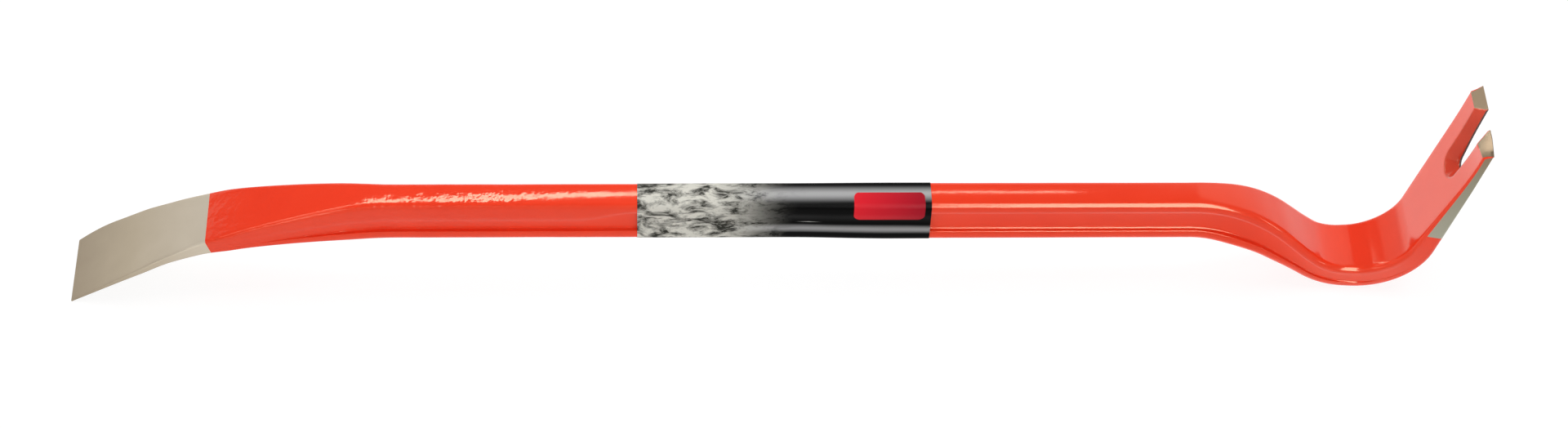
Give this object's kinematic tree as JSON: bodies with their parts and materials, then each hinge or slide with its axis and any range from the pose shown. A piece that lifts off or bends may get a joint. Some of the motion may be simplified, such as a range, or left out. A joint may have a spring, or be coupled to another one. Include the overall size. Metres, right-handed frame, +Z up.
{
  "type": "gooseneck wrecking bar",
  "caption": "Forged gooseneck wrecking bar in I-section steel with a flat chisel end, a slotted nail claw and a plain film label round the shaft.",
  "frame": {"origin": "on the floor that the bar stands on, below the middle of its overall length and width", "axes": "+X along the shaft towards the claw, +Y across the bar, +Z up; the chisel's edge and the flat of the heel lie on the plane Z = 0"},
  "size_m": [0.8, 0.0518, 0.1275],
  "materials": {
    "red_enamel": "gloss enamel over forged steel, left off the chisel's blade and the claw's ground faces",
    "printed_film": "glossy printed label film, stone grey running into black"
  },
  "bodies": {
    "root": {"forged_bar": "red_enamel", "label_sleeve": "printed_film"}
  },
  "joints": []
}
